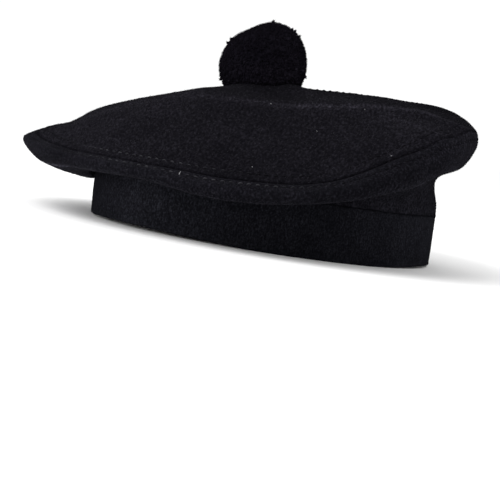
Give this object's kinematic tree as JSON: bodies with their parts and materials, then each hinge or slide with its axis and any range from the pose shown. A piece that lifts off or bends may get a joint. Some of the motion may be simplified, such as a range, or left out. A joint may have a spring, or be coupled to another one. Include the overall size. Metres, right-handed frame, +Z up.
{
  "type": "tam o shanter",
  "caption": "Wide round cap of thick wool felt with a flat crown, a rolled rim, a narrow headband and a wool pompom, open below for the head.",
  "frame": {"origin": "middle of the whole hat's footprint, on the surface it rests on", "axes": "+Z up from the surface; -Y towards the wearer's brow; +X towards the wearer's left ear"},
  "size_m": [0.2428, 0.2452, 0.1158],
  "materials": {
    "crown_felt": "matt felted wool with a short nap",
    "side_felt": "matt felted wool with a short nap",
    "band_felt": "matt felted wool, folded double",
    "pompom_yarn": "matt cut wool yarn"
  },
  "bodies": {
    "root": {"crown_top": "crown_felt", "crown_side": "side_felt", "headband": "band_felt", "pompom": "pompom_yarn"}
  },
  "joints": []
}
